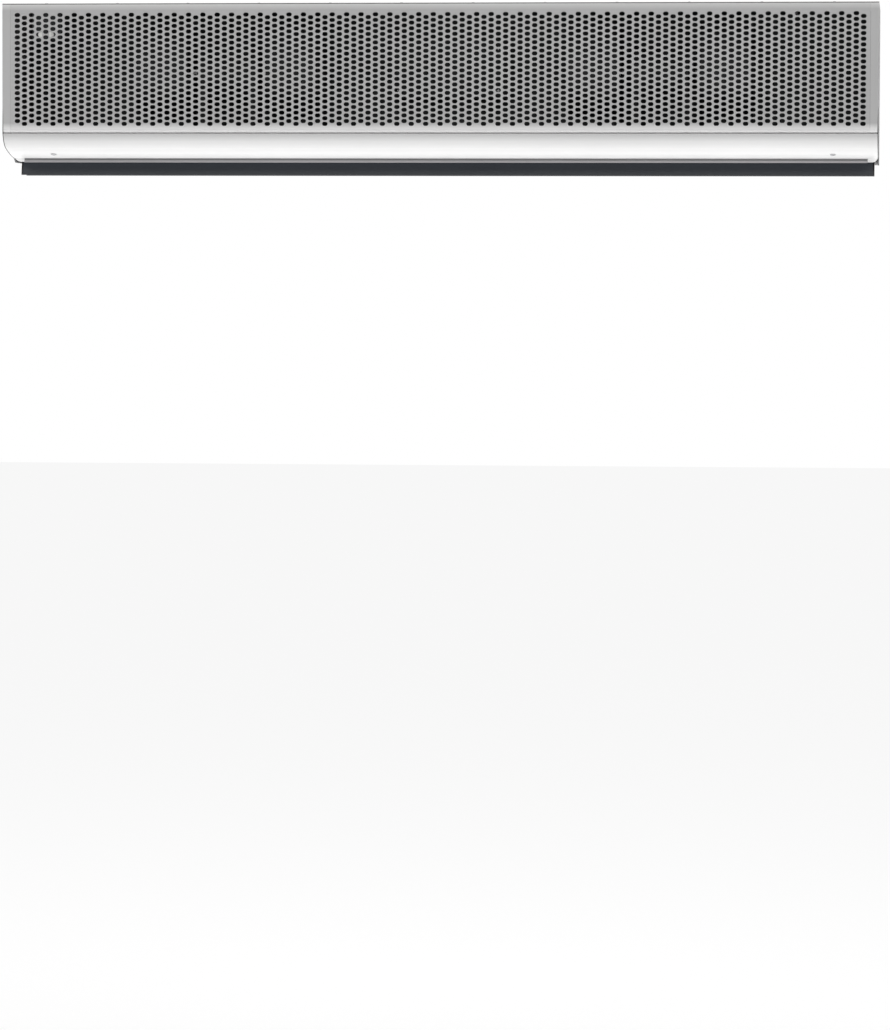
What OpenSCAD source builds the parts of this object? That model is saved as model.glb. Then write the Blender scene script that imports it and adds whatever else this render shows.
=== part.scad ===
// Wall-hung air curtain: a long sheet-steel casing with a perforated front, a rolled lower
// front panel and two adjustable vanes in its outlet. Two twin-shaft motors turn four
// double-inlet centrifugal impellers in scroll housings on a fan deck.
// X runs along the length, -Y is the front and +Z is up. The origin is on the wall face,
// in the middle of the wall fixing holes.

/* [Casing] */
// Overall length of the casing
casing_l = 2230; // [2210:1:2300]
// Height of the casing, without the vanes
casing_h = 400; // [392:1:440]
// Depth of the casing from the wall to the front
casing_d = 400; // [390:1:440]
// Thickness of the steel sheet
sheet_t = 1.5; // [1.2:0.1:2]
// Thickness of the end panels
end_t = 2; // [1.5:0.1:3]
// Width of the front flange of each end panel
end_flange_w = 21; // [15:1:24]

/* [Front] */
// Height of the crease between the grille and the rolled panel
crease_h = 69; // [66:0.5:74]
// Radius of the knuckle just below the crease
knuckle_r = 58; // [50:1:62]
// Radius of the nearly flat belly behind the knuckle
belly_r = 680; // [600:10:720]
// Thickness of the perforated sheet
grille_t = 1.2; // [1:0.1:2]
// Width of a perforation
hole_w = 14; // [10:0.5:15]
// Height of a perforation
hole_h = 10.4; // [8:0.2:11]
// Distance between columns of perforations
column_pitch = 18.4; // [18:0.1:18.5]
// Distance between perforations in a column
row_pitch = 14.2; // [13:0.1:14.3]
// Bare band above the perforations
top_band = 24; // [18:1:26]

/* [Outlet] */
// Height of the nose of the outlet rail
nose_h = 5.5; // [5:0.5:7]
// Front edge of the rear panel of the underside, behind the front face
outlet_back = 340; // [336:1:350]
// Gap between a vane's end cap and its bush
vane_play = 5; // [1:0.5:8]
// Chord of a vane
vane_chord = 89; // [60:1:92]
// Thickness of a vane
vane_t = 11; // [8:1:14]
// Height of the vane pivots above the underside
vane_pivot_h = 10.5; // [10:0.5:16]
// Lean of the vanes towards the front at rest
vane_lean = 20; // [10:1:25]
// Radius of the vane pins
vane_pin_r = 4; // [3:0.5:5]

/* [Fans] */
// Height of the fan deck above the underside
deck_h = 80; // [76:1:82]
// Radius of an impeller
impeller_r = 88; // [70:1:90]
// Length of an impeller
impeller_w = 112; // [90:1:114]
// Number of blades on an impeller
blade_count = 36; // [24:1:44]
// Radius of the inlet of a scroll housing
inlet_r = 70; // [55:1:72]
// Inner width of a scroll housing
scroll_w = 126; // [124:1:140]
// Radius of a drive shaft
shaft_r = 8; // [6:0.5:10]
// Radius of a motor
motor_r = 64; // [55:1:70]
// Length of a motor
motor_l = 150; // [120:1:160]
// Distance from a motor's middle to the middle of each impeller
fan_offset = 170; // [165:1:190]
// Distance from the middle of the casing to the middle of each motor
motor_x = 557; // [545:1:570]

/* [Electrics] */
// Length of the electrical box
box_l = 300; // [240:1:320]
// Height of the electrical box
box_h = 150; // [120:1:170]
// Depth of the electrical box
box_d = 90; // [80:1:110]

/* [Mounting] */
// Distance along the length between the outer wall holes
wall_pitch_x = 1900; // [1700:1:1960]
// Distance up the wall between the rows of wall holes
wall_pitch_z = 300; // [260:1:310]
// Radius of the wall holes
wall_hole_r = 5.5; // [4:0.5:7]
// Distance along the length between the hanging nuts
hanger_pitch_x = 1800; // [1600:1:1900]
// Distance between the front and rear hanging nuts
hanger_pitch_y = 260; // [220:1:280]
// Radius of the thread in a hanging nut
hanger_thread_r = 4; // [3:0.5:5]

/* [Hidden] */
$fn = 48;

// clearances
running_fit = 0.05;
seat_gap = 0.3;

// inner faces of the casing, as depth behind the front and height above the underside
inner_x = casing_l / 2 - end_t;
back_in = casing_d - sheet_t;
top_in = casing_h - sheet_t;
bend_r = 4;
grille_foot = 0.5;
foot_drop = 10;
foot_a = 55;
foot_r = foot_drop / sin(foot_a);
foot_top = crease_h + grille_foot + foot_drop;
lip_y = ceil(foot_r - (foot_r - grille_t) * cos(foot_a));
plate_lap = 0.3;
grille_flange = 18;
top_flange_h = casing_h - top_band + 4;
top_lap = 12;

// rolled panel: headings are measured from straight down towards the wall
crease_a = 20;
knuckle_a = 74;
belly_a = 84;
knuckle_c = [knuckle_r * cos(crease_a), crease_h + knuckle_r * sin(crease_a)];
knuckle_end = knuckle_c - knuckle_r * [cos(knuckle_a), sin(knuckle_a)];
belly_c = knuckle_end + belly_r * [cos(knuckle_a), sin(knuckle_a)];
belly_end = belly_c - belly_r * [cos(belly_a), sin(belly_a)];
hem_h = 15;
hem_y = belly_end[0] + sheet_t * cos(belly_a);
roll_fn = 720;
gasket_t = 5;
rail_y = belly_end[0] + gasket_t;
rail_web_h = deck_h;
block_l = 26;
block_toe = 20;
block_lift = 2;
block_round = 14;
hem_lap = 2;

// perforations: whole columns that fit between the end flanges, shared by six panels
panel_count = 6;
panel_l = (casing_l - 2 * end_flange_w - 2 * seat_gap) / panel_count;
column_count = 2 * floor((casing_l - 2 * end_flange_w - hole_w - 2) / column_pitch / 2);
row_count = floor((casing_h - crease_h - top_band - row_pitch) / row_pitch);
first_column_x = -(column_count - 1) / 2 * column_pitch;
top_row_h = casing_h - top_band - hole_h / 2;
rib_d = 28;
rib_t = 1.5;

// vanes
vane_front_y = 218;
vane_rear_y = 290;
vane_cap_t = 4;
vane_wall = 1.5;
vane_facets = 48;
bush_r = 9;
bush_collar_t = 4;
vane_l = 2 * (inner_x - bush_collar_t - vane_play);
spreader_h = 14;
spreader_t = 2;

// fans
fan_y = 225;
fan_rise = 152;
fan_h = deck_h + fan_rise;
step = 5;
scroll_rise = 42;
scroll_drop = 10;
spiral_r = [for (i = [0:3]) impeller_r + scroll_rise - scroll_drop * i];
spiral_c = [[step, -step], [step, step], [-step, step], [-step, -step]];
duct_w = 92;
duct_flange = 12;
lip_r = 3;
hub_r = 22;
rim_w = 3;
blade_depth = 20;
blade_span = 17.5;
blade_r = 26;
blade_t = 1.6;
blade_twist = 24;
bearing_r = 17.5;
bearing_w = 11;
saddle_t = 3;
saddle_w = 14;
saddle_inset = 10;
window_w = 40;
window_y = 42;
window_sill = 12;
window_head = 8;
foot_l = 30;
fin_count = 28;
fin_h = 5;

// electrics
box_y = back_in - box_d;
box_v = 170;
gland_x = -89;
gland_y = 345;
lamp_column = [3, 5];
lamp_row = 3;
lamp_w = 9;
lamp_h = 13;
lamp_t = 1.6;
lamp_shift = 5.7;
lamp_neck_shift = 4;
lamp_neck_r = 2.6;
lamp_r = 6;
lamp_l = 11;

// fasteners
screw_inset = 115;
screw_x = casing_l / 2 - screw_inset;
screw_heading = 79;
screw_r = 7.5;
screw_shank_r = 2.5;

silver = [0.78, 0.79, 0.80];
steel = [0.66, 0.67, 0.69];
slate = [0.22, 0.22, 0.235];
black = [0.08, 0.08, 0.085];

// ---------- helpers ----------

// Extrudes an outline drawn as (depth behind the front, height above the underside)
module along(x0, x1) {
  translate([x0, -casing_d, -casing_h / 2]) rotate([90, 0, 90]) linear_extrude(x1 - x0) children();
}

// Moves to a place given as (x, depth behind the front, height above the underside)
module at(x, y, h) {
  translate([x, y - casing_d, h - casing_h / 2]) children();
}

// Turns a solid whose axis is +Z so that its axis is +X
module lengthwise() {
  rotate([0, 90, 0]) children();
}

module slab(x0, x1, y0, y1, h0, h1) {
  at(x0, y0, h0) cube([x1 - x0, y1 - y0, h1 - h0]);
}

// Part of a ring on the front and underside, between two headings
module rolled(centre, r, t, a0, a1) {
  reach = 2 * r;
  translate(centre) intersection() {
    difference() {
      circle(r, $fn = roll_fn);
      circle(r - t, $fn = roll_fn);
    }
    polygon([[0, 0], -reach * [cos(a0), sin(a0)], -reach * [cos(a1), sin(a1)]]);
  }
}

// Everything behind the outer face of the rolled panel, set back by an inset
module behind_roll(inset) {
  intersection() {
    translate(knuckle_c) circle(knuckle_r - inset, $fn = roll_fn);
    translate(knuckle_c)
      polygon([[0, 0], -2 * knuckle_r * [cos(crease_a), sin(crease_a)],
               -2 * knuckle_r * [cos(knuckle_a), sin(knuckle_a)]]);
  }
  intersection() {
    translate(belly_c) circle(belly_r - inset, $fn = roll_fn);
    translate([knuckle_end[0] - 3, 0]) square([belly_end[0] - knuckle_end[0] + 3, crease_h]);
  }
  polygon([[inset, crease_h], knuckle_c, [belly_end[0], knuckle_c[1]],
           [belly_end[0], crease_h - 1], [knuckle_end[0], crease_h - 1]]);
}

// ---------- casing ----------

module back_panel() color(steel) {
  difference() {
    union() {
      slab(-inner_x, inner_x, back_in, casing_d, 0, casing_h - sheet_t);
      slab(-inner_x, inner_x, back_in - foot_l, back_in, top_in - sheet_t, top_in);
      slab(-inner_x, inner_x, back_in - foot_l, back_in, sheet_t, 2 * sheet_t);
    }
    for (x = [-1, 0, 1] * wall_pitch_x / 2, z = [-1, 1] * wall_pitch_z / 2)
      translate([x, 1, z]) rotate([90, 0, 0]) cylinder(r = wall_hole_r, h = sheet_t + 2);
  }
}

module top_panel() color(silver) {
  under = casing_h - grille_t;
  in_y = grille_t + sheet_t;
  difference() {
    union() {
      slab(-inner_x, inner_x, bend_r + grille_flange + seat_gap, casing_d, top_in, casing_h);
      along(-inner_x, inner_x) polygon([
        [grille_t, top_flange_h], [grille_t, casing_h - bend_r], [bend_r, under],
        [bend_r + grille_flange + top_lap, under], [bend_r + grille_flange + top_lap, under - sheet_t],
        [bend_r + 0.6, under - sheet_t], [in_y, casing_h - bend_r - 0.6], [in_y, top_flange_h]]);
    }
    for (x = [-1, 1] * hanger_pitch_x / 2, y = [-1, 1] * hanger_pitch_y / 2)
      at(x, casing_d / 2 + y, top_in - 1) cylinder(r = hanger_thread_r + 1.5, h = sheet_t + 2);
    at(gland_x, gland_y, top_in - 1) cylinder(r = 10, h = sheet_t + 2);
  }
}

module casing_outline() {
  translate([bend_r, casing_h - bend_r]) circle(bend_r);
  translate([bend_r, crease_h]) square([casing_d - bend_r, casing_h - crease_h]);
  translate([0, crease_h - plate_lap])
    square([bend_r + 1, casing_h - crease_h - bend_r + plate_lap]);
  behind_roll(0);
  translate([belly_end[0] + block_toe, 0]) square([casing_d - belly_end[0] - block_toe, crease_h]);
  translate([belly_end[0] - 1, belly_end[1] + 3]) square([casing_d - belly_end[0], crease_h - belly_end[1] - 3]);
  block_outline(0);
}

// Toe under the end of the rolled panel, raised by a lift
module block_outline(lift) {
  polygon([[belly_end[0] - 2, belly_end[1] + 0.4], [belly_end[0] + block_toe, lift],
           [belly_end[0] + block_toe + 8, lift], [belly_end[0] + block_toe + 8, belly_end[1] + 4],
           [belly_end[0] - 2, belly_end[1] + 4]]);
}

module end_panel(side) {
  color(slate) mirror([side < 0 ? 1 : 0, 0, 0]) difference() {
    union() {
      along(inner_x, casing_l / 2) casing_outline();
      slab(casing_l / 2 - end_flange_w, inner_x, 0, grille_t, foot_top, casing_h - bend_r);
      along(casing_l / 2 - end_flange_w, inner_x) grille_foot_roll();
      along(casing_l / 2 - end_flange_w, inner_x) translate([bend_r, casing_h - bend_r]) grille_bend();
    }
    for (y = [vane_front_y, vane_rear_y]) at(inner_x - 1, y, vane_pivot_h)
      lengthwise() cylinder(r = bush_r - 2, h = end_t + 2);
  }
}

module end_panel_left() { end_panel(-1); }
module end_panel_right() { end_panel(1); }

module fascia() color(silver) difference() {
  union() {
    along(-inner_x, inner_x) {
      rolled(knuckle_c, knuckle_r, sheet_t, crease_a, knuckle_a);
      rolled(belly_c, belly_r, sheet_t, knuckle_a - 0.2, belly_a);
      translate([1, crease_h - hem_lap]) square([lip_y + sheet_t - 1, sheet_t]);
      translate([lip_y, crease_h - hem_lap])
        square([sheet_t, deck_h + sheet_t - crease_h + hem_lap]);
    }
    along(-inner_x + block_l, inner_x - block_l)
      translate(belly_end - [sheet_t, 0]) square([hem_y - belly_end[0] + sheet_t, hem_h]);
  }
  for (x = [-screw_x, screw_x]) on_belly(x)
    translate([0, 0, -10]) cylinder(r = screw_shank_r + running_fit, h = 20);
}

// Blocks that close the ends of the outlet rail, each with a rounded outer corner
module corner_blocks() color(silver)
  for (s = [-1, 1]) mirror([s < 0 ? 1 : 0, 0, 0]) difference() {
    along(inner_x - block_l + seat_gap, inner_x) difference() {
      block_outline(block_lift);
      behind_roll(-0.1);
      translate([belly_end[0] - 2, belly_end[1]]) square([hem_y - belly_end[0] + 2.1, 5]);
    }
    at(inner_x - block_round, hem_y - 20, block_lift) rotate([-90, 0, 0])
      linear_extrude(block_toe + 40) difference() {
        translate([0, -block_round]) square(block_round + 1);
        translate([0, -block_round]) circle(block_round);
      }
  }

// ---------- grille ----------

module perforation() {
  end_r = hole_h / 2;
  for (s = [-1, 1]) translate([s * (hole_w / 2 - end_r), 0]) circle(end_r, $fn = 24);
  square([hole_w - 2 * end_r, hole_h], center = true);
}

module perforated_column(c, x0, x1) {
  x = first_column_x + c * column_pitch;
  drop = c % 2 == 0 ? 0 : row_pitch / 2;
  difference() {
    translate([x0, foot_top]) square([x1 - x0, casing_h - foot_top - bend_r]);
    for (r = [0:row_count - 1]) translate([x, top_row_h - drop - r * row_pitch]) perforation();
  }
}

// One of the panels side by side: a strip of sheet for each column it holds
module grille_panel(index) {
  from = round(index * column_count / panel_count);
  to = round((index + 1) * column_count / panel_count) - 1;
  function seam(c) = c <= 0 ? -panel_count * panel_l / 2 :
    c >= column_count ? panel_count * panel_l / 2 : first_column_x + (c - 0.5) * column_pitch;
  color(steel) {
    translate([0, grille_t - casing_d, -casing_h / 2]) rotate([90, 0, 0])
      linear_extrude(grille_t) for (c = [from:to]) perforated_column(c, seam(c), seam(c + 1));
    along(seam(from), seam(to + 1)) {
      translate([bend_r, casing_h - bend_r]) grille_bend();
      grille_foot_roll();
    }
  }
}

// Bottom edge of the sheet, rolled in above the crease
module grille_foot_roll() {
  translate([foot_r, foot_top]) intersection() {
    difference() {
      circle(foot_r, $fn = 96);
      circle(foot_r - grille_t, $fn = 96);
    }
    polygon([[0, 0], [-2 * foot_r, 0], -2 * foot_r * [cos(foot_a), sin(foot_a)]]);
  }
}

// Top edge of the sheet, bent back over the top panel
module grille_bend() {
  intersection() {
    difference() {
      circle(bend_r);
      circle(bend_r - grille_t);
    }
    translate([-bend_r, 0]) square(bend_r);
  }
  translate([0, bend_r - grille_t]) square([grille_flange, grille_t]);
}

module grille_panel_1() { grille_panel(0); }
module grille_panel_2() { grille_panel(1); }
module grille_panel_3() { grille_panel(2); }
module grille_panel_4() { grille_panel(3); }
module grille_panel_5() { grille_panel(4); }
module grille_panel_6() { grille_panel(5); }

// Upright ribs behind the seams between the panels
module grille_ribs() color(steel)
  for (i = [1:panel_count - 1]) {
    c = round(i * column_count / panel_count);
    x = first_column_x + (c - 0.5) * column_pitch;
    slab(x - rib_t / 2, x + rib_t / 2, grille_t + sheet_t, grille_t + sheet_t + rib_d,
         deck_h + sheet_t, casing_h - bend_r - 1);
    slab(x - rib_t / 2, x + rib_t / 2, grille_t, grille_t + sheet_t + 1, deck_h + sheet_t + 1,
         top_flange_h - 1);
  }

// ---------- outlet ----------

module outlet_rail() color(steel)
  along(-inner_x + block_l, inner_x - block_l) {
    translate([rail_y, 0]) square([sheet_t, rail_web_h]);
    translate([belly_end[0] - 1, 0]) square([gasket_t + 1.5, sheet_t]);
    translate([belly_end[0] - 1, 0]) square([sheet_t, nose_h]);
    translate([belly_end[0] - 1, nose_h - sheet_t]) square([gasket_t + 1.5, sheet_t]);
  }

module panel_gasket() color(black)
  along(-inner_x + block_l, inner_x - block_l)
    translate([hem_y, nose_h]) square([rail_y - hem_y, belly_end[1] + 9 - nose_h]);

module outlet_spreaders() color(steel)
  for (x = [-1, 0, 1] * motor_x)
    slab(x - spreader_t / 2, x + spreader_t / 2, rail_y + sheet_t, outlet_back,
         deck_h - spreader_h, deck_h);

module lower_panel() color(steel) {
  slab(-inner_x, inner_x, outlet_back, back_in, 0, sheet_t);
  slab(-inner_x, inner_x, outlet_back, outlet_back + sheet_t, 0, deck_h);
}

// A vane's section: a slim ellipse, drawn upright about its pivot, with walls thicker at its tips
module vane_section(wall) {
  polygon([for (i = [0:vane_facets - 1]) let (a = 360 * i / vane_facets)
    [(vane_t / 2 - wall) * cos(a), (vane_chord / 2 - 2.5 * wall) * sin(a)]]);
}

module vane_at(y) {
  at(0, y, vane_pivot_h) rotate([-vane_lean, 0, 0]) children();
}

// Hollow extruded blade
module vane_blade(y) color(slate) vane_at(y)
  translate([vane_cap_t - vane_l / 2, 0, 0]) rotate([90, 0, 90])
    linear_extrude(vane_l - 2 * vane_cap_t) difference() {
      vane_section(0);
      vane_section(vane_wall);
    }

// End caps of a vane with their pins
module vane_caps(y) color(black) vane_at(y)
  for (s = [-1, 1]) mirror([s < 0 ? 1 : 0, 0, 0]) {
    translate([vane_l / 2 - vane_cap_t, 0, 0]) rotate([90, 0, 90])
      linear_extrude(vane_cap_t) vane_section(0);
    translate([vane_l / 2, 0, 0]) lengthwise()
      cylinder(r = vane_pin_r, h = casing_l / 2 - vane_l / 2 - 0.5);
  }

module vane_front() { vane_blade(vane_front_y); }
module vane_rear() { vane_blade(vane_rear_y); }
module vane_front_caps() { vane_caps(vane_front_y); }
module vane_rear_caps() { vane_caps(vane_rear_y); }

// Friction bushes in the end panels
module vane_bushes() color(black)
  for (s = [-1, 1], y = [vane_front_y, vane_rear_y])
    mirror([s < 0 ? 1 : 0, 0, 0]) at(0, y, vane_pivot_h) lengthwise() difference() {
      union() {
        translate([0, 0, inner_x]) cylinder(r = bush_r - 2 - running_fit, h = end_t);
        translate([0, 0, inner_x - bush_collar_t]) cylinder(r = bush_r, h = bush_collar_t);
      }
      translate([0, 0, inner_x - bush_collar_t - 1])
        cylinder(r = vane_pin_r + running_fit, h = bush_collar_t + end_t + 2);
    }

// ---------- fans ----------

fan_x = [-motor_x - fan_offset, -motor_x + fan_offset, motor_x - fan_offset, motor_x + fan_offset];

// Spiral outline about the shaft, with its duct down to the fan deck
module scroll_outline(grow) {
  for (i = [0:3]) intersection() {
    translate(spiral_c[i]) circle(spiral_r[i] + grow, $fn = 96);
    translate(spiral_c[i]) rotate(90 * i) square(2 * spiral_r[0]);
  }
  square(2 * step + 2, center = true);
  translate([step + spiral_r[0] - duct_w - grow, deck_h - fan_h])
    square([duct_w + 2 * grow, fan_h - deck_h - step]);
}

module scroll_housing(i) {
  x0 = fan_x[i] - scroll_w / 2;
  x1 = fan_x[i] + scroll_w / 2;
  duct_y = fan_y + step + spiral_r[0] - duct_w;
  deck_top = deck_h + sheet_t;
  color(steel) difference() {
    union() {
      at(x0 - sheet_t, fan_y, fan_h) rotate([90, 0, 90]) linear_extrude(scroll_w + 2 * sheet_t)
        scroll_outline(sheet_t);
      slab(x0 - duct_flange, x1 + duct_flange, duct_y - duct_flange, duct_y + duct_w + duct_flange,
           deck_top, deck_top + sheet_t);
    }
    at(x0, fan_y, fan_h) rotate([90, 0, 90]) linear_extrude(scroll_w) scroll_outline(0);
    at(x0 - 9, fan_y, fan_h) lengthwise() cylinder(r = inlet_r, h = scroll_w + 18);
    slab(x0 - 99, x1 + 99, 0, casing_d, 0, deck_top);
  }
  color(steel) for (s = [-1, 1]) at(fan_x[i], fan_y, fan_h) mirror([s < 0 ? 1 : 0, 0, 0])
    translate([scroll_w / 2 + sheet_t, 0, 0]) lengthwise() inlet_ring();
}

// Rolled lip round an inlet
module inlet_ring() {
  out_r = lip_r + sheet_t;
  rotate_extrude($fn = 72) translate([inlet_r + out_r, 0]) intersection() {
    difference() {
      circle(out_r, $fn = 32);
      circle(lip_r, $fn = 32);
    }
    translate([-out_r, 0]) square([2 * out_r, out_r]);
  }
}

module scroll_housing_1() { scroll_housing(0); }
module scroll_housing_2() { scroll_housing(1); }
module scroll_housing_3() { scroll_housing(2); }
module scroll_housing_4() { scroll_housing(3); }

// One forward-curved blade of an impeller
module blade() {
  translate([impeller_r - blade_depth, 0]) rotate(blade_twist) translate([0, -blade_r])
    intersection() {
      difference() {
        circle(blade_r, $fn = 48);
        circle(blade_r - blade_t, $fn = 48);
      }
      square([blade_span, blade_r]);
    }
}

module impeller(i) {
  color(steel) at(fan_x[i], fan_y, fan_h) lengthwise() difference() {
    union() {
      translate([0, 0, -impeller_w / 2]) linear_extrude(impeller_w)
        for (b = [0:blade_count - 1]) rotate(360 * b / blade_count) blade();
      for (z = [-impeller_w / 2, impeller_w / 2 - rim_w]) translate([0, 0, z]) difference() {
        cylinder(r = impeller_r, h = rim_w);
        translate([0, 0, -1]) cylinder(r = impeller_r - blade_depth + 4, h = rim_w + 2);
      }
      cylinder(r = impeller_r - 3, h = 2, center = true);
      cylinder(r = hub_r, h = 40, center = true);
    }
    cylinder(r = shaft_r + running_fit, h = impeller_w, center = true);
  }
}

module impeller_1() { impeller(0); }
module impeller_2() { impeller(1); }
module impeller_3() { impeller(2); }
module impeller_4() { impeller(3); }

module drive_shaft(side) {
  half = fan_offset + impeller_w / 2;
  color("silver") at(side * motor_x - half, fan_y, fan_h) lengthwise()
    cylinder(r = shaft_r, h = 2 * half);
}

module drive_shaft_left() { drive_shaft(-1); }
module drive_shaft_right() { drive_shaft(1); }

// Finned motor shell with a boss and a bearing seat at each end
module motor(side) {
  boss = 12;
  color(slate) at(side * motor_x, fan_y, fan_h) lengthwise() difference() {
    union() {
      cylinder(r = motor_r - fin_h, h = motor_l, center = true);
      for (z = [-1, 1]) translate([0, 0, z * (motor_l / 2 - 10)])
        cylinder(r = motor_r, h = 20, center = true);
      linear_extrude(motor_l - 40, center = true) for (f = [0:fin_count - 1])
        rotate(360 * f / fin_count) translate([motor_r - fin_h - 1, -1]) square([fin_h + 0.4, 2]);
      cylinder(r = bearing_r + 6, h = motor_l + 2 * boss, center = true);
    }
    cylinder(r = shaft_r + 2, h = motor_l + 2 * boss + 2, center = true);
    for (z = [-1, 1]) translate([0, 0, z * (motor_l / 2 + boss - bearing_w / 2 + 1)])
      cylinder(r = bearing_r + running_fit, h = bearing_w + 2, center = true);
  }
}

module motor_left() { motor(-1); }
module motor_right() { motor(1); }

module motor_bearings() color("silver")
  for (x = [-motor_x, motor_x], s = [-1, 1]) at(x, fan_y, fan_h) lengthwise()
    translate([0, 0, s * (motor_l / 2 + 12 - bearing_w / 2)]) difference() {
      cylinder(r = bearing_r, h = bearing_w, center = true);
      cylinder(r = shaft_r + running_fit, h = bearing_w + 2, center = true);
    }

// Two saddles on a base plate, each with a strap over the motor
module motor_cradle(side) {
  x = side * motor_x;
  half_w = motor_r + saddle_t + 4;
  color(steel) difference() {
    union() {
      slab(x - motor_l / 2, x + motor_l / 2, fan_y - half_w, fan_y + half_w, deck_h + sheet_t,
           deck_h + sheet_t + saddle_t);
      for (s = [-1, 1]) {
        from = x + s * (motor_l / 2 - saddle_inset) - saddle_w / 2;
        slab(from, from + saddle_w, fan_y - half_w, fan_y + half_w, deck_h + sheet_t, fan_h);
        at(from, fan_y, fan_h) lengthwise() cylinder(r = motor_r + saddle_t, h = saddle_w);
      }
    }
    at(x - motor_l, fan_y, fan_h) lengthwise() cylinder(r = motor_r + seat_gap, h = 2 * motor_l);
    for (s = [-1, 1])
      slab(x - motor_l, x + motor_l, fan_y + s * window_y - window_w / 2,
           fan_y + s * window_y + window_w / 2, deck_h + sheet_t + window_sill,
           fan_h - motor_r + window_head);
  }
}

module motor_cradle_left() { motor_cradle(-1); }
module motor_cradle_right() { motor_cradle(1); }

module fan_deck() {
  duct_y = fan_y + step + spiral_r[0] - duct_w;
  color(steel) {
    difference() {
      slab(-inner_x, inner_x, lip_y + sheet_t, back_in, deck_h, deck_h + sheet_t);
      for (x = fan_x) slab(x - scroll_w / 2, x + scroll_w / 2, duct_y, duct_y + duct_w,
                           deck_h - 1, deck_h + sheet_t + 1);
    }
    slab(-inner_x, inner_x, back_in - sheet_t, back_in, deck_h, deck_h + foot_l);
    slab(-inner_x, inner_x, lip_y + sheet_t, lip_y + 2 * sheet_t, crease_h + 1, deck_h);
  }
}

// ---------- electrics ----------

module electrical_box() color(steel) difference() {
  slab(-box_l / 2, box_l / 2, box_y, back_in, box_v, box_v + box_h);
  slab(-box_l / 2 + sheet_t, box_l / 2 - sheet_t, box_y - 1, back_in - sheet_t, box_v + sheet_t,
       box_v + box_h - sheet_t);
  for (x = [-60, 60]) at(x, box_y + 40, box_v - 1) cylinder(r = 8, h = sheet_t + 2);
}

module electrical_box_cover() color(steel) {
  slab(-box_l / 2, box_l / 2, box_y - sheet_t, box_y, box_v, box_v + box_h);
  for (s = [-1, 1]) slab(s * (box_l / 2 + sheet_t / 2) - sheet_t / 2,
                         s * (box_l / 2 + sheet_t / 2) + sheet_t / 2,
                         box_y - sheet_t, box_y + 12, box_v, box_v + box_h);
}

module box_screws() color("silver")
  for (x = [-1, 1] * (box_l / 2 - 20), h = [20, box_h - 20])
    at(x, box_y - sheet_t, box_v + h) rotate([90, 0, 0]) cylinder(r = 4, h = 3);

module terminal_block() color("ivory") {
  poles = 6;
  difference() {
    slab(-130, -130 + poles * 12, back_in - sheet_t - 26, back_in - sheet_t, box_v + 50, box_v + 80);
    for (p = [0:poles - 1], h = [57, 73])
      at(-124 + p * 12, back_in - sheet_t - 27, box_v + h) rotate([-90, 0, 0]) cylinder(r = 3, h = 9);
  }
}

module run_capacitors() color("gainsboro")
  for (x = [-20, 28]) {
    at(x, back_in - sheet_t - 22, box_v + sheet_t) cylinder(r = 20, h = 70);
    for (s = [-6, 6]) at(x + s, back_in - sheet_t - 22, box_v + sheet_t + 70)
      cylinder(r = 2, h = 9);
  }

module speed_controller() color("darkgreen") {
  slab(60, 136, back_in - sheet_t - 12, back_in - sheet_t - 10, box_v + 30, box_v + 120);
  for (x = [66, 130], h = [36, 114]) at(x, back_in - sheet_t, box_v + h) rotate([90, 0, 0])
    cylinder(r = 3, h = 10);
  slab(70, 94, back_in - sheet_t - 30, back_in - sheet_t - 12, box_v + 80, box_v + 104);
  slab(102, 126, back_in - sheet_t - 26, back_in - sheet_t - 12, box_v + 44, box_v + 70);
}

// Supply gland through the top panel, with its nut inside
module cable_gland() color(black) at(gland_x, gland_y, 0) difference() {
  union() {
    translate([0, 0, top_in - 12]) cylinder(r = 9.8, h = 20);
    translate([0, 0, casing_h]) cylinder(r = 14, h = 6, $fn = 6);
    translate([0, 0, casing_h + 6]) cylinder(r1 = 12, r2 = 9, h = 14);
    translate([0, 0, top_in - 6]) cylinder(r = 14, h = 6, $fn = 6);
  }
  translate([0, 0, top_in - 13]) cylinder(r = 6, h = 50);
}

// Two lamps on the grille, each with its neck through a perforation
module indicator_lamps() color("gainsboro")
  for (i = [0, 1]) {
    s = 1 - 2 * i;
    x = first_column_x + lamp_column[i] * column_pitch;
    h = top_row_h - row_pitch / 2 - lamp_row * row_pitch;
    slab(x + s * lamp_shift - lamp_w / 2, x + s * lamp_shift + lamp_w / 2, -lamp_t, 0,
         h - lamp_h / 2, h + lamp_h / 2);
    at(x + s * lamp_neck_shift, -1, h) rotate([-90, 0, 0]) {
      cylinder(r = lamp_neck_r, h = grille_t + 2);
      translate([0, 0, 1 + grille_t]) cylinder(r = lamp_r, h = lamp_l);
    }
  }

module lamp_carrier() color(black) {
  x0 = first_column_x + 2 * column_pitch;
  x1 = first_column_x + 6 * column_pitch;
  h0 = top_row_h - (lamp_row + 1) * row_pitch - lamp_r;
  y0 = grille_t + lamp_l;
  slab(x0, x1, y0, y0 + sheet_t, h0, top_flange_h + sheet_t);
  slab(x0, x1, grille_t + sheet_t, y0 + sheet_t, top_flange_h, top_flange_h + sheet_t);
}

// ---------- fasteners ----------

module hanging_nuts() color("silver")
  for (x = [-1, 1] * hanger_pitch_x / 2, y = [-1, 1] * hanger_pitch_y / 2)
    at(x, casing_d / 2 + y, 0) difference() {
      union() {
        translate([0, 0, casing_h]) cylinder(r = 9, h = 1.5);
        translate([0, 0, casing_h - 14]) cylinder(r = hanger_thread_r + 1.4, h = 14);
      }
      translate([0, 0, casing_h - 15]) cylinder(r = hanger_thread_r, h = 20);
    }

module on_belly(x) {
  p = belly_c - belly_r * [cos(screw_heading), sin(screw_heading)];
  at(x, p[0], p[1]) rotate([90 + screw_heading, 0, 0]) children();
}

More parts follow.
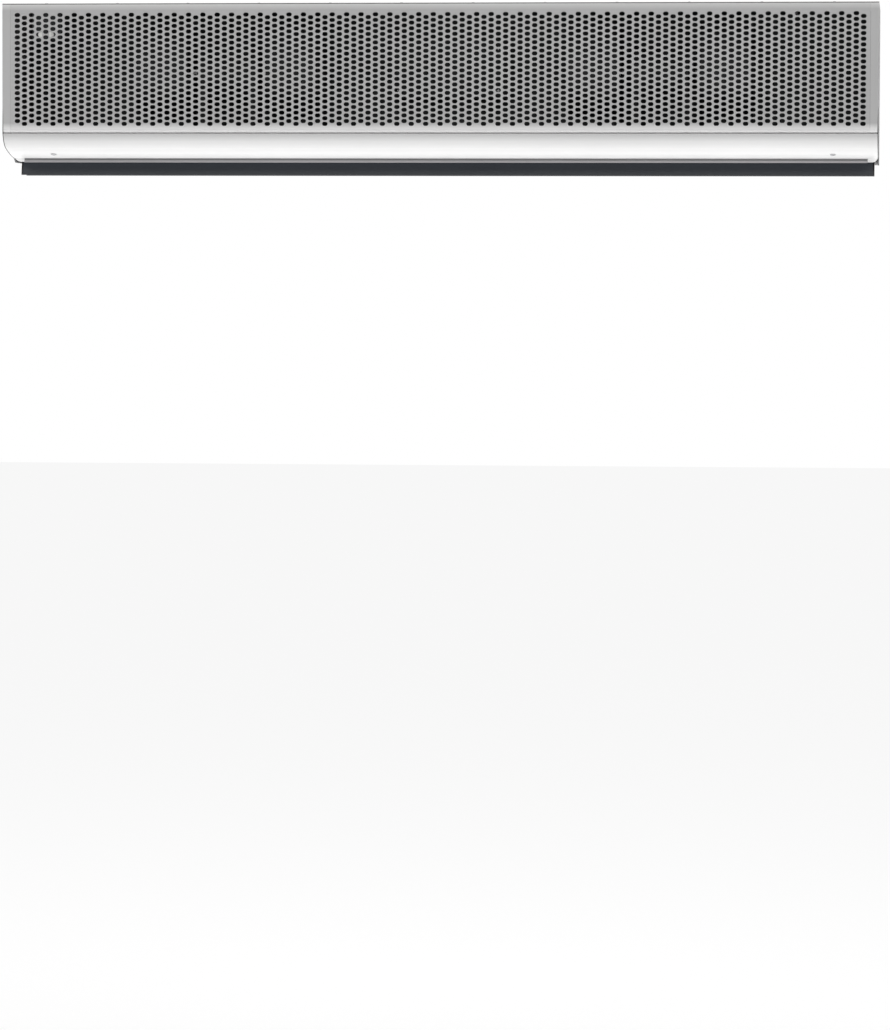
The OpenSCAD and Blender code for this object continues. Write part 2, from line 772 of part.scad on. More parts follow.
module fascia_screws() color(steel)
  for (x = [-screw_x, screw_x]) on_belly(x) {
    cylinder(r = screw_r, h = 1);
    translate([0, 0, 1]) cylinder(r1 = screw_r, r2 = screw_r - 2.5, h = 1.2);
    translate([0, 0, -8]) cylinder(r = screw_shank_r, h = 8.5);
  }

// Tabs from the outlet rail that the rolled panel is screwed to
module fascia_brackets() color(steel) difference() {
  for (x = [-screw_x, screw_x]) along(x - 20, x + 20) {
    rolled(belly_c, belly_r - sheet_t, 2, screw_heading - 2, screw_heading + 2.8);
    translate([rail_y - 34, belly_end[1] + 5.5]) square([2, 15]);
    translate([rail_y - 34, belly_end[1] + 18.5]) square([34, 2]);
  }
  for (x = [-screw_x, screw_x]) on_belly(x)
    translate([0, 0, -10]) cylinder(r = screw_shank_r + running_fit, h = 20);
}

// Screws through the top flange of the grille
module grille_screws() color("silver")
  for (i = [0:2 * panel_count - 1])
    at((i + 0.5 - panel_count) * panel_l / 2, bend_r + grille_flange / 2, casing_h) {
      cylinder(r = 4, h = 0.8);
      translate([0, 0, 0.8]) cylinder(r1 = 4, r2 = 2.4, h = 1);
    }

back_panel();
top_panel();
end_panel_left();
end_panel_right();
fascia();
grille_panel_1();
grille_panel_2();
grille_panel_3();
grille_panel_4();
grille_panel_5();
grille_panel_6();
grille_ribs();
panel_gasket();
outlet_rail();
outlet_spreaders();
lower_panel();
corner_blocks();
fan_deck();
scroll_housing_1();
scroll_housing_2();
scroll_housing_3();
scroll_housing_4();
impeller_1();
impeller_2();
impeller_3();
impeller_4();
drive_shaft_left();
drive_shaft_right();
motor_left();
motor_right();
motor_bearings();
motor_cradle_left();
motor_cradle_right();
electrical_box();
electrical_box_cover();
terminal_block();
run_capacitors();
speed_controller();
cable_gland();
indicator_lamps();
lamp_carrier();
vane_front();
vane_rear();
vane_front_caps();
vane_rear_caps();
vane_bushes();
hanging_nuts();
fascia_screws();
fascia_brackets();
grille_screws();
box_screws();
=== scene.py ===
import math

import bmesh
import bpy
from mathutils import Matrix, Vector


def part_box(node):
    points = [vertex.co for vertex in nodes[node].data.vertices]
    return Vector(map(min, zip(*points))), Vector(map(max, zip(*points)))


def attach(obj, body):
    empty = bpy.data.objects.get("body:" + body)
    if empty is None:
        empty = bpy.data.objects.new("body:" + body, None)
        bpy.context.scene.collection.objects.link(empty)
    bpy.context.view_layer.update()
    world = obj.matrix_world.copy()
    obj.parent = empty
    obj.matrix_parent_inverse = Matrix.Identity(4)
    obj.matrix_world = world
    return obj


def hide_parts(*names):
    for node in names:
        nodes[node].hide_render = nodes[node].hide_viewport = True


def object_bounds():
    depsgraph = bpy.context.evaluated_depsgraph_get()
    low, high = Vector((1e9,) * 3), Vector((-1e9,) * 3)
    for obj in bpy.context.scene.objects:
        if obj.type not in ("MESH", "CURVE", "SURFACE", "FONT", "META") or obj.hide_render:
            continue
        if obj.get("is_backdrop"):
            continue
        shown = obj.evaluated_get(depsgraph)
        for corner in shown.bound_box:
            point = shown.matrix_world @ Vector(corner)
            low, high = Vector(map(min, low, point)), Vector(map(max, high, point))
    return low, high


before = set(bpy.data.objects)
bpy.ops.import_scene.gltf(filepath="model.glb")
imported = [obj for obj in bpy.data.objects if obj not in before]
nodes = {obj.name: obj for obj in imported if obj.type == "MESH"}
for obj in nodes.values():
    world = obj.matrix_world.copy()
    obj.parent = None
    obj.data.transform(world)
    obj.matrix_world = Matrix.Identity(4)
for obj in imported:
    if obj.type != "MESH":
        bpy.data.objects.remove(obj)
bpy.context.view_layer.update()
scene = bpy.context.scene

# ---------- camera: a long lens from the right, a little below the casing ----------

PHOTO_H = 1030  # height of the photo in pixels, which FOCAL_PX goes by
FOCAL_PX = 4747.0
SENSOR_H = 24.0
EYE = Vector((1.200, -12.4, -0.532))
YAW, PITCH, ROLL = math.radians(5.592), math.radians(-2.688), math.radians(0.197)

forward = Vector((-math.sin(YAW) * math.cos(PITCH), math.cos(YAW) * math.cos(PITCH), math.sin(PITCH)))
level_right = forward.cross(Vector((0, 0, 1))).normalized()
level_up = level_right.cross(forward).normalized()
cam_right = level_right * math.cos(ROLL) + level_up * math.sin(ROLL)
cam_up = level_up * math.cos(ROLL) - level_right * math.sin(ROLL)

cam_data = bpy.data.cameras.new("camera")
cam_data.sensor_fit = "VERTICAL"
cam_data.sensor_height = SENSOR_H
cam_data.lens = FOCAL_PX / PHOTO_H * SENSOR_H
cam_data.clip_start, cam_data.clip_end = 0.1, 100.0
camera = bpy.data.objects.new("camera", cam_data)
turn = Matrix((cam_right, cam_up, -forward)).transposed()
camera.matrix_world = Matrix.Translation(EYE) @ turn.to_4x4()
scene.collection.objects.link(camera)
scene.camera = camera
scene.view_settings.view_transform = "Standard"

# ---------- sizes that the paint follows, in metres ----------

CASING_TOP = 0.2      # upper face of the top panel
TOP_SHADE_LINE = 0.0025     # height of the thin painted shade line along the bend at the top
END_INNER_X = 1.113   # inner faces of the end panels
FRONT_BACK = -0.398   # back of the end panels' front flanges
CUT_EDGE_TOP = -0.09  # the end panels' cut edges are dark below this, partly their own dark edge and partly painted shade
BACK_INSIDE = -0.0008  # the back panel's zinc ends here, and its dark inner side starts
SPANGLES = 85         # zinc spangles in a metre

# painted shading of the front, lighter or darker by height for how the light falls: height where one starts,
# height where it is full, tone against the plain paint
FRONT_PAINTED_SHADING = [
    (0.182, 0.1965, 1.42),     # painted highlight towards the bend at the top
    (-0.104, -0.117, 1.6),     # painted highlight on the foot of the perforated sheet
    (-0.1205, -0.1260, 1.2),   # its rolled edge gets less painted highlight
    (-0.1268, -0.1290, 1.72),  # and its end more, painted light against the crease's shade, which keeps the crease soft
]
# painted shading of the rolled panel, in the same columns
ROLL_PAINTED_SHADING = [
    (-0.150, -0.133, 0.77),    # painted shade below the crease
    (-0.172, -0.188, 1.30),    # painted highlight towards the lip
    (-0.1312, -0.1308, 1.6),   # painted light on the leg that stands behind the crease, against its shade
]
VANE_PAINTED_SHADING = (-0.231, -0.205)  # the vanes' paint goes from painted shade to painted light between these heights


# ---------- material nodes ----------

def scaled(color, k):
    return tuple(min(1.0, c * k) for c in color)


class Shader:
    """A small builder for one procedural material."""

    def __init__(self, name):
        self.mat = bpy.data.materials.new(name)
        self.mat.use_nodes = True
        self.tree = self.mat.node_tree
        self.tree.nodes.clear()
        self.out = self.add("ShaderNodeOutputMaterial")

    def add(self, kind, **props):
        n = self.tree.nodes.new(kind)
        for k, v in props.items():
            setattr(n, k, v)
        return n

    def join(self, a, b):
        self.tree.links.new(a, b)

    def coords(self, scale=(1, 1, 1)):
        c = self.add("ShaderNodeTexCoord")
        m = self.add("ShaderNodeMapping")
        m.inputs["Scale"].default_value = scale
        self.join(c.outputs["Object"], m.inputs["Vector"])
        return m.outputs["Vector"]

    def axis(self, which):
        """Place along X, Y or Z."""
        s = self.add("ShaderNodeSeparateXYZ")
        self.join(self.coords(), s.inputs["Vector"])
        return s.outputs[which]

    def normal_axis(self, which):
        """How far the surface faces along X, Y or Z."""
        c = self.add("ShaderNodeTexCoord")
        n = self.add("ShaderNodeSeparateXYZ")
        self.join(c.outputs["Normal"], n.inputs["Vector"])
        return n.outputs[which]

    def noise(self, scale, detail=4.0, stretch=(1, 1, 1), rough=0.55):
        n = self.add("ShaderNodeTexNoise")
        n.inputs["Scale"].default_value = scale
        n.inputs["Detail"].default_value = detail
        n.inputs["Roughness"].default_value = rough
        self.join(self.coords(stretch), n.inputs["Vector"])
        return n.outputs["Fac"]

    def spangles(self):
        """Flat cells of a zinc coat, as a value that differs from cell to cell."""
        v = self.add("ShaderNodeTexVoronoi")
        v.inputs["Scale"].default_value = SPANGLES
        self.join(self.coords(), v.inputs["Vector"])
        bw = self.add("ShaderNodeRGBToBW")
        self.join(v.outputs["Color"], bw.inputs["Color"])
        return bw.outputs["Val"]

    def ramp(self, fac, stops):
        r = self.add("ShaderNodeValToRGB")
        for e, (pos, color) in zip(r.color_ramp.elements, stops):
            e.position = pos
            e.color = (*color, 1)
        self.join(fac, r.inputs["Fac"])
        return r.outputs["Color"]

    def span(self, fac, lo, hi, to_lo, to_hi):
        m = self.add("ShaderNodeMapRange")
        for k, v in zip(("From Min", "From Max", "To Min", "To Max"), (lo, hi, to_lo, to_hi)):
            m.inputs[k].default_value = v
        self.join(fac, m.inputs["Value"])
        return m.outputs["Result"]

    def other(self, mask):
        """One where a mask is zero, and zero where it is one."""
        return self.span(mask, 0, 1, 1.0, 0.0)

    def mix(self, fac, a, b):
        m = self.add("ShaderNodeMix", data_type="RGBA")
        for key, v in ((0, fac), (6, a), (7, b)):
            if isinstance(v, tuple):
                m.inputs[key].default_value = (*v, 1)
            else:
                self.join(v, m.inputs[key])
        return m.outputs[2]

    def calc(self, operation, *values):
        m = self.add("ShaderNodeMath", operation=operation)
        for value, socket in zip(values, m.inputs):
            self.join(value, socket)
        return m.outputs[0]

    def bump(self, height, strength, distance):
        b = self.add("ShaderNodeBump")
        b.inputs["Strength"].default_value = strength
        b.inputs["Distance"].default_value = distance
        self.join(height, b.inputs["Height"])
        return b.outputs["Normal"]

    def drift(self, color, wander, stretch=(1, 1, 2)):
        """A paint's tone, which drifts slowly along the sheet."""
        return self.ramp(self.noise(1.6, 3, stretch),
                         [(0.3, scaled(color, 1 - wander)), (0.7, scaled(color, 1 + wander))])

    def specks(self, tint, dark, most):
        """Fine specks of dust in a paint."""
        return self.mix(self.span(self.noise(900, 2), 0.62, 0.8, 0.0, most), tint, dark)

    def satin(self, lo, hi):
        """Roughness of a sprayed coat, which wanders between two values."""
        return self.span(self.noise(22, 5, (1, 1, 3)), 0.2, 0.8, lo, hi)

    def peel(self, strength):
        """Orange peel of a sprayed coat."""
        return self.bump(self.noise(420, 3), strength, 0.0004)

    def finish(self, color, rough, normal, **fixed):
        p = self.add("ShaderNodeBsdfPrincipled")
        for k, v in fixed.items():
            socket = p.inputs[k.replace("_", " ")]
            if isinstance(v, (int, float)):
                socket.default_value = v
            else:
                self.join(v, socket)
        self.join(color, p.inputs["Base Color"])
        self.join(rough, p.inputs["Roughness"])
        self.join(normal, p.inputs["Normal"])
        self.join(p.outputs["BSDF"], self.out.inputs["Surface"])
        return self.mat


# ---------- kinds of material ----------

def painted(name, color, rough, metallic=0.0, peel=0.12, wander=0.04):
    """Sprayed paint: slow drift of tone, fine orange peel, faint dust."""
    s = Shader(name)
    tint = s.specks(s.drift(color, wander), scaled(color, 0.8), 0.10)
    return s.finish(tint, s.satin(rough - 0.05, rough + 0.07), s.peel(peel), Metallic=metallic)


def sheet_tint(s, color, top_shade_line, painted_shading):
    """Tone of the front's sheets: paint, painted shading by height and a thin painted shade line along the
    bend at the top.
    """
    tint = s.specks(s.drift(color, 0.04), scaled(color, 0.8), 0.10)
    outer = s.span(s.normal_axis("Y"), -0.08, -0.02, 1.0, 0.0)
    # painted light and painted shade by height, on faces towards the front or down
    for start, full, tone in painted_shading:
        there = s.calc("MULTIPLY", s.span(s.axis("Z"), start, full, 0.0, 1.0), outer)
        tint = s.mix(there, tint, scaled(color, tone))
    # a thin painted shade line along the bend at the top, on faces towards the front
    if top_shade_line:
        low = CASING_TOP - TOP_SHADE_LINE
        front = s.span(s.normal_axis("Y"), -0.3, -0.1, 1.0, 0.0)
        line = s.calc("MULTIPLY", s.span(s.axis("Z"), low - 0.0003, low + 0.0003, 0.0, 1.0), front)
        tint = s.mix(line, tint, scaled(color, 0.22))
    return tint


def front_paint(name, color, top_shade_line, painted_shading):
    """Sprayed paint of the perforated sheet and the rolled panel, with painted shading by height."""
    s = Shader(name)
    return s.finish(sheet_tint(s, color, top_shade_line, painted_shading), s.satin(0.31, 0.43), s.peel(0.12), Metallic=0.25)


def end_sheet(name, color, dark, painted_shading):
    """An end panel: silver flange, duller end face darkened by painted shade, dark inside, and dark along the
    cut edge of its rolled part, partly its own dark edge and partly painted shade.
    """
    s = Shader(name)
    side_on = s.span(s.calc("ABSOLUTE", s.normal_axis("X")), 0.45, 0.55, 0.0, 1.0)
    inside = s.span(s.calc("ABSOLUTE", s.axis("X")), END_INNER_X - 0.0004, END_INNER_X + 0.0004, 1.0, 0.0)
    outside = s.other(inside)
    behind = s.span(s.axis("Y"), FRONT_BACK - 0.0005, FRONT_BACK + 0.0005, 0.0, 1.0)
    low = s.span(s.axis("Z"), CUT_EDGE_TOP - 0.03, CUT_EDGE_TOP + 0.03, 1.0, 0.0)
    inner_face = s.calc("MULTIPLY", s.calc("MULTIPLY", side_on, inside), behind)
    cut_edge = s.calc("MULTIPLY", s.calc("MULTIPLY", s.other(side_on), outside), low)
    end_face = s.calc("MULTIPLY", side_on, outside)
    shaded = s.calc("MAXIMUM", inner_face, cut_edge)
    dull = s.calc("MAXIMUM", end_face, shaded)
    # painted shade: the end faces are mixed half way towards a quarter of the paint's tone
    tint = s.mix(s.span(end_face, 0, 1, 0.0, 0.5), sheet_tint(s, color, True, painted_shading), scaled(color, 0.25))
    shade = s.ramp(s.noise(3, 3), [(0.3, scaled(dark, 0.9)), (0.7, scaled(dark, 1.1))])
    # dark inside, and along the cut edge partly its own dark edge and partly painted shade
    return s.finish(s.mix(shaded, tint, shade), s.satin(0.32, 0.45), s.peel(0.12),
                    Metallic=s.span(dull, 0, 1, 0.25, 0.0),
                    Specular_IOR_Level=s.span(dull, 0, 1, 0.5, 0.08))


def vane_paint(name, color):
    """Dark paint of the vanes, with painted shade low down and painted light towards the edge that stays
    inside the outlet.
    """
    s = Shader(name)
    # a darker and a lighter copy of the paint, for the painted shade and the painted light
    low, high = [s.drift(scaled(color, k), 0.06, (1, 1, 4)) for k in (0.67, 2.2)]
    tint = s.mix(s.span(s.axis("Z"), *VANE_PAINTED_SHADING, 0.0, 1.0), low, high)
    return s.finish(s.specks(tint, scaled(color, 0.6), 0.12), s.satin(0.35, 0.47), s.peel(0.1))


def galvanised(name, color, rough):
    """Zinc coat: flat spangles of slightly different tone, a little cloudiness."""
    s = Shader(name)
    cells = s.spangles()
    zinc_tint = s.ramp(cells, [(0.2, scaled(color, 0.86)), (0.8, scaled(color, 1.08))])
    tint = s.mix(s.span(s.noise(5, 4), 0.3, 0.7, 0.0, 0.35), zinc_tint, scaled(color, 0.9))
    return s.finish(tint, s.span(cells, 0, 1, rough - 0.08, rough + 0.1),
                    s.bump(s.noise(260, 3), 0.08, 0.0003), Metallic=0.75)


def two_sided(name, inner, outer, edge):
    """One sheet, dark inside and zinc coated outside, split at a depth."""
    s = Shader(name)
    cells = s.spangles()
    inner_tint = s.ramp(s.noise(3, 3), [(0.3, scaled(inner, 0.9)), (0.7, scaled(inner, 1.1))])
    outer_tint = s.ramp(cells, [(0.2, scaled(outer, 0.88)), (0.8, scaled(outer, 1.06))])
    where = s.span(s.axis("Y"), edge - 0.0001, edge + 0.0001, 0.0, 1.0)
    return s.finish(s.mix(where, inner_tint, outer_tint), s.span(cells, 0, 1, 0.42, 0.58),
                    s.bump(s.noise(260, 3), 0.06, 0.0003), Metallic=0.2)


def turned(name, color):
    """Turned or drawn steel: fine lines round the part."""
    s = Shader(name)
    lines = s.noise(1.0, 4, (600, 3, 3))
    tint = s.ramp(lines, [(0.3, scaled(color, 0.88)), (0.7, color)])
    return s.finish(tint, s.span(lines, 0.3, 0.7, 0.19, 0.36), s.bump(lines, 0.1, 0.0002), Metallic=1.0)


def plastic(name, color, rough=0.5, grain=700, bump=0.15):
    """Moulded plastic: fine spark-eroded grain and a slight drift of tone."""
    s = Shader(name)
    tint = s.ramp(s.noise(7, 3), [(0.3, scaled(color, 0.92)), (0.7, scaled(color, 1.08))])
    return s.finish(tint, s.span(s.noise(40, 3), 0.3, 0.7, rough - 0.06, rough + 0.08),
                    s.bump(s.noise(grain, 2), bump, 0.0003))


# ---------- materials of the pieces ----------

SILVER = (0.567, 0.565, 0.564)
SLATE = (0.036, 0.0405, 0.0475)
INNER = (0.020, 0.020, 0.021)

silver = painted("silver_paint", SILVER, 0.36, metallic=0.25)
silver_rail = painted("rail_paint", (0.36, 0.35, 0.36), 0.42, metallic=0.2)
inner_black = painted("inside_paint", INNER, 0.62, peel=0.2, wander=0.1)
slate = vane_paint("vane_paint", SLATE)
zinc = galvanised("zinc_sheet", (0.55, 0.56, 0.57), 0.42)
wheel_metal = galvanised("wheel_sheet", (0.12, 0.12, 0.125), 0.5)
bright = turned("bright_steel", (0.66, 0.66, 0.67))
head_steel = turned("head_steel", (0.42, 0.42, 0.43))
black_plastic = plastic("black_plastic", (0.02, 0.02, 0.022))
seal = plastic("foam_seal", (0.19, 0.19, 0.193), rough=0.8, grain=350, bump=0.4)
ivory = plastic("ivory_plastic", (0.72, 0.68, 0.56))
can = plastic("capacitor_case", (0.55, 0.55, 0.53), rough=0.35)
board = plastic("board_lacquer", (0.015, 0.11, 0.045), rough=0.3, grain=160, bump=0.3)
lamp_lens = plastic("lamp_lens", (0.82, 0.82, 0.80), rough=0.3)
SHADE = (0.02, 0.02, 0.02)
# the end, grille and rolled paints carry the front's painted shading by height
end_paint = end_sheet("end_paint", scaled(SILVER, 1.05), (0.03, 0.03, 0.032), FRONT_PAINTED_SHADING)
grille_paint = front_paint("grille_paint", SILVER, True, FRONT_PAINTED_SHADING)
roll_paint = front_paint("roll_paint", SILVER, False, ROLL_PAINTED_SHADING)
back_sheet = two_sided("back_sheet", INNER, (0.50, 0.51, 0.52), BACK_INSIDE)

look = {
    "back_panel": back_sheet, "top_panel": silver, "end_panel_left": end_paint, "end_panel_right": end_paint,
    "fascia": roll_paint, "grille_ribs": inner_black, "panel_gasket": seal, "outlet_rail": silver_rail,
    "outlet_spreaders": inner_black, "lower_panel": silver, "corner_blocks": silver,
    "fan_deck": inner_black, "motor_bearings": bright, "electrical_box": inner_black,
    "electrical_box_cover": inner_black, "terminal_block": ivory, "run_capacitors": can,
    "speed_controller": board, "cable_gland": black_plastic, "indicator_lamps": lamp_lens,
    "lamp_carrier": black_plastic, "vane_front": slate, "vane_rear": slate,
    "vane_front_caps": black_plastic, "vane_rear_caps": black_plastic, "vane_bushes": black_plastic,
    "hanging_nuts": bright, "fascia_screws": bright, "fascia_brackets": zinc,
    "grille_screws": bright, "box_screws": bright,
}
for i in range(1, 7):
    look[f"grille_panel_{i}"] = grille_paint
for i in range(1, 5):
    look[f"scroll_housing_{i}"] = inner_black
    look[f"impeller_{i}"] = wheel_metal
for side in ("left", "right"):
    look[f"drive_shaft_{side}"] = bright
    look[f"motor_{side}"] = inner_black
    look[f"motor_cradle_{side}"] = inner_black

for name, obj in nodes.items():
    obj.data.materials.clear()
    obj.data.materials.append(look[name])


# ---------- meshes ----------

def mesh_object(name, bm, material, body="casing", smooth=math.radians(35)):
    """Turns a bmesh into a piece that rides on a body, with sharp edges kept sharp."""
    bmesh.ops.recalc_face_normals(bm, faces=bm.faces)
    for f in bm.faces:
        f.smooth = True
    for e in bm.edges:
        if len(e.link_faces) == 2 and e.calc_face_angle(0) > smooth:
            e.smooth = False
    mesh = bpy.data.meshes.new(name)
    bm.to_mesh(mesh)
    bm.free()
    obj = bpy.data.objects.new(name, mesh)
    mesh.materials.append(material)
    scene.collection.objects.link(obj)
    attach(obj, body)
    return obj


def lathe(bm, profile, place, segments=48, wave=None):
    """Adds a turned form to a mesh. profile is (radius, height) pairs and place carries it to its spot."""
    rings = []
    for r, z in profile:
        if r < 1e-7:
            rings.append([bm.verts.new(place @ Vector((0, 0, z)))])
            continue
        ring = []
        for i in range(segments):
            a = 2 * math.pi * i / segments
            rr, zz = (r, z) if wave is None else wave(r, z, a)
            ring.append(bm.verts.new(place @ Vector((rr * math.cos(a), rr * math.sin(a), zz))))
        rings.append(ring)
    for a, b in zip(rings, rings[1:]):
        for i in range(segments):
            j = (i + 1) % segments
            if len(a) == 1 and len(b) == 1:
                continue
            if len(a) == 1:
                bm.faces.new((a[0], b[i], b[j]))
            elif len(b) == 1:
                bm.faces.new((a[i], a[j], b[0]))
            else:
                bm.faces.new((a[i], a[j], b[j], b[i]))


def facing(point, normal, twist=0.0):
    """A placing matrix whose +Z points along normal."""
    return (Matrix.Translation(point) @ Vector(normal).to_track_quat("Z", "Y").to_matrix().to_4x4()
            @ Matrix.Rotation(twist, 4, "Z"))


def split(node):
    """The separate solids of a node, as (lowest corner, highest corner) pairs from left to right."""
    mesh = nodes[node].data
    group = list(range(len(mesh.vertices)))

    def root(i):
        while group[i] != i:
            group[i] = group[group[i]]
            i = group[i]
        return i

    seen = {}
    for v in mesh.vertices:
        key = tuple(round(c, 6) for c in v.co)
        if key in seen:
            group[root(v.index)] = root(seen[key])
        seen.setdefault(key, v.index)
    for e in mesh.edges:
        group[root(e.vertices[0])] = root(e.vertices[1])
    clouds = {}
    for v in mesh.vertices:
        clouds.setdefault(root(v.index), []).append(v.co)
    boxes = [tuple(Vector([pick(c[k] for c in cloud) for k in range(3)]) for pick in (min, max))
             for cloud in clouds.values()]
    return sorted(boxes, key=lambda b: (round(b[0].x, 4), b[0].z, b[0].y))


# ---------- screw heads ----------

CROSS_W, CROSS_REACH, CROSS_DEPTH = 0.13, 0.52, 0.62  # half width, reach and depth of a recess, to its head
FASCIA_HEAD_R, FASCIA_HEAD_H, FASCIA_SHANK_R, FASCIA_SHANK_L = 0.0075, 0.0022, 0.0025, 0.0075
FASCIA_SCREW_TALL = 0.0102  # a fascia screw from its tip to the top of its head
FASCIA_SCREW_HEADING = math.radians(79)
SMALL_HEAD_R, SMALL_SHANK_R, NO_SHANK = 0.004, 0.0014, 0.00001
GRILLE_HEAD_H, BOX_HEAD_H = 0.0018, 0.003
TURNS = (0.3, 1.1, 0.75, 1.45, 0.05, 0.9, 1.3, 0.55, 0.2, 1.0, 0.65, 1.2)  # how far each cross is turned


def cross_head(bm, place, radius, height, shank_r, shank_l):
    """A domed head with a rolled edge and a cross recess, on a plain shank."""
    half_w, reach, depth = radius * CROSS_W, radius * CROSS_REACH, height * CROSS_DEPTH

    def wave(r, z, a):
        x, y = abs(r * math.cos(a)), abs(r * math.sin(a))
        if z > height * 0.4 and min(x, y) < half_w and max(x, y) < reach:
            z -= depth * (1 - 0.35 * max(x, y) / reach)
        return r, z

    profile = [(0, height - depth)]
    steps = 22
    for k in range(1, steps + 1):
        r = radius * 0.93 * k / steps
        profile.append((r, height * (0.5 + 0.5 * math.sqrt(1 - (r / radius) ** 2))))
    profile += [(radius, height * 0.38), (radius, height * 0.1), (radius * 0.985, 0),
                (shank_r, 0), (shank_r, -shank_l), (shank_r * 0.5, -shank_l - 0.0004), (0, -shank_l - 0.0004)]
    lathe(bm, profile, place, 96, wave)


bm = bmesh.new()
outward = Vector((0, -math.cos(FASCIA_SCREW_HEADING), -math.sin(FASCIA_SCREW_HEADING)))
for turn_by, (lo, hi) in zip(TURNS, split("fascia_screws")):
    base = (lo + hi) / 2 + outward * (FASCIA_SCREW_TALL / 2 - FASCIA_HEAD_H)
    cross_head(bm, facing(base, outward, turn_by),
               FASCIA_HEAD_R, FASCIA_HEAD_H, FASCIA_SHANK_R, FASCIA_SHANK_L)
fascia_heads = mesh_object("fascia_screw_heads", bm, head_steel)
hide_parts("fascia_screws")

bm = bmesh.new()
for turn_by, (lo, hi) in zip(TURNS, split("grille_screws")):
    mid = (lo + hi) / 2
    cross_head(bm, facing((mid.x, mid.y, lo.z), (0, 0, 1), turn_by),
               SMALL_HEAD_R, GRILLE_HEAD_H, SMALL_SHANK_R, NO_SHANK)
grille_heads = mesh_object("grille_screw_heads", bm, bright)
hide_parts("grille_screws")

bm = bmesh.new()
for turn_by, (lo, hi) in zip(TURNS, split("box_screws")):
    mid = (lo + hi) / 2
    cross_head(bm, facing((mid.x, hi.y, mid.z), (0, -1, 0), turn_by),
               SMALL_HEAD_R, BOX_HEAD_H, SMALL_SHANK_R, NO_SHANK)
box_heads = mesh_object("box_screw_heads", bm, bright)
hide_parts("box_screws")

# ---------- lamps: a frosted lens in a thin bezel, on its neck and round body ----------

LENS_W, LENS_H, LENS_T = 0.0038, 0.0058, 0.0016  # half width, half height and thickness
LENS_CORNER = 5.0     # the higher, the squarer the lens
LENS_OFFSET = 0.0017  # from the neck's middle to the lens's middle
LAMP_BODY_R = 0.006

# (share of the lens's outline, share of its thickness)
LENS_PROFILE = [(0.0, 0.92), (0.3, 0.91), (0.55, 0.84), (0.68, 0.7), (0.72, 0.55), (0.76, 0.55),
                (0.8, 0.85), (0.9, 1), (0.97, 0.85), (1.0, 0.5), (1.0, 0.0), (0.0, 0.0)]
LAMP_BODY_PROFILE = [(0, 0), (0.0026, 0), (0.0026, 0.0012), (0.0056, 0.0012), (LAMP_BODY_R, 0.0016),
                     (LAMP_BODY_R, 0.0118), (0.0056, 0.0122), (0, 0.0122)]


def squarish(r, z, angle):
    """Bends a turned ring into the outline of the lens."""
    across, up = abs(math.cos(angle) / LENS_W), abs(math.sin(angle) / LENS_H)
    return r * (across ** LENS_CORNER + up ** LENS_CORNER) ** (-1 / LENS_CORNER), z


bm = bmesh.new()
for inward, (lo, hi) in zip((1, -1), split("indicator_lamps")):
    neck_x = (hi.x if inward > 0 else lo.x) - inward * LAMP_BODY_R
    back_y, mid_z = lo.y + LENS_T, (lo.z + hi.z) / 2
    lathe(bm, [(r, LENS_T * z) for r, z in LENS_PROFILE],
          facing((neck_x + inward * LENS_OFFSET, back_y, mid_z), (0, -1, 0)), 64, squarish)
    lathe(bm, LAMP_BODY_PROFILE, facing((neck_x, back_y, mid_z), (0, 1, 0)), 40)
lamps = mesh_object("lamp_lenses", bm, lamp_lens)
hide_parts("indicator_lamps")

# ---------- cable gland: hexagon, fluted cap, and a nut on a thread below the sheet ----------

TOP_SHEET_T = 0.0015
GLAND_BORE = 0.006
HEX_R, HEX_FACE_R = 0.014, 0.0125
FLUTES, FLUTE_DEPTH = 24, 0.00035


def hexagon(r, z, angle):
    """Flattens the outer rings to six sides."""
    side = math.cos(math.pi / 6) / math.cos((angle + math.pi / 6) % (math.pi / 3) - math.pi / 6)
    return min(r, HEX_R * side if r > HEX_FACE_R else r), z


def fluted(r, z, angle):
    """Gives the outer rings of the cap their flutes, below its rounded top."""
    return (r + FLUTE_DEPTH * math.cos(FLUTES * angle), z) if r > 0.0085 and z < 0.018 else (r, z)


bm = bmesh.new()
gland_lo, gland_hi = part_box("cable_gland")
gland_mid = (gland_lo + gland_hi) / 2
above = Matrix.Translation((gland_mid.x, gland_mid.y, CASING_TOP))
below = Matrix.Translation((gland_mid.x, gland_mid.y, CASING_TOP - TOP_SHEET_T))
lathe(bm, [(GLAND_BORE, 0), (HEX_FACE_R, 0), (0.0137, 0.0004), (HEX_R, 0.001), (HEX_R, 0.005),
           (0.0137, 0.0056), (HEX_FACE_R, 0.006), (GLAND_BORE, 0.006)], above, 96, hexagon)
lathe(bm, [(GLAND_BORE, 0.006), (0.0112, 0.006), (0.0114, 0.0066), (0.0114, 0.0135), (0.0108, 0.0160),
           (0.0096, 0.0186), (0.0082, 0.0199), (0.0068, 0.02), (GLAND_BORE, 0.0196), (GLAND_BORE, 0.006)],
      above, 96, fluted)
lathe(bm, [(GLAND_BORE, 0), (HEX_FACE_R, 0), (0.0137, -0.0004), (HEX_R, -0.001), (HEX_R, -0.005),
           (0.0137, -0.0056), (HEX_FACE_R, -0.006), (0.0098, -0.006), (0.0098, -0.0066), (0.0092, -0.0070),
           (0.0098, -0.0074), (0.0098, -0.0081), (0.0092, -0.0085), (0.0098, -0.0089), (0.0098, -0.0100),
           (0.0092, -0.0105), (GLAND_BORE, -0.0105), (GLAND_BORE, 0)], below, 96, hexagon)
gland = mesh_object("cable_gland_body", bm, black_plastic)
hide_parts("cable_gland")


# ---------- room: white floor and surroundings ----------

WHITE = (1, 1, 1, 1)
WORLD_LIGHT, WORLD_SEEN = 0.16, 1.0
FLOOR_SEEN = 0.80
FLOOR_Z, FLOOR_HALF = -2.45, 40.0


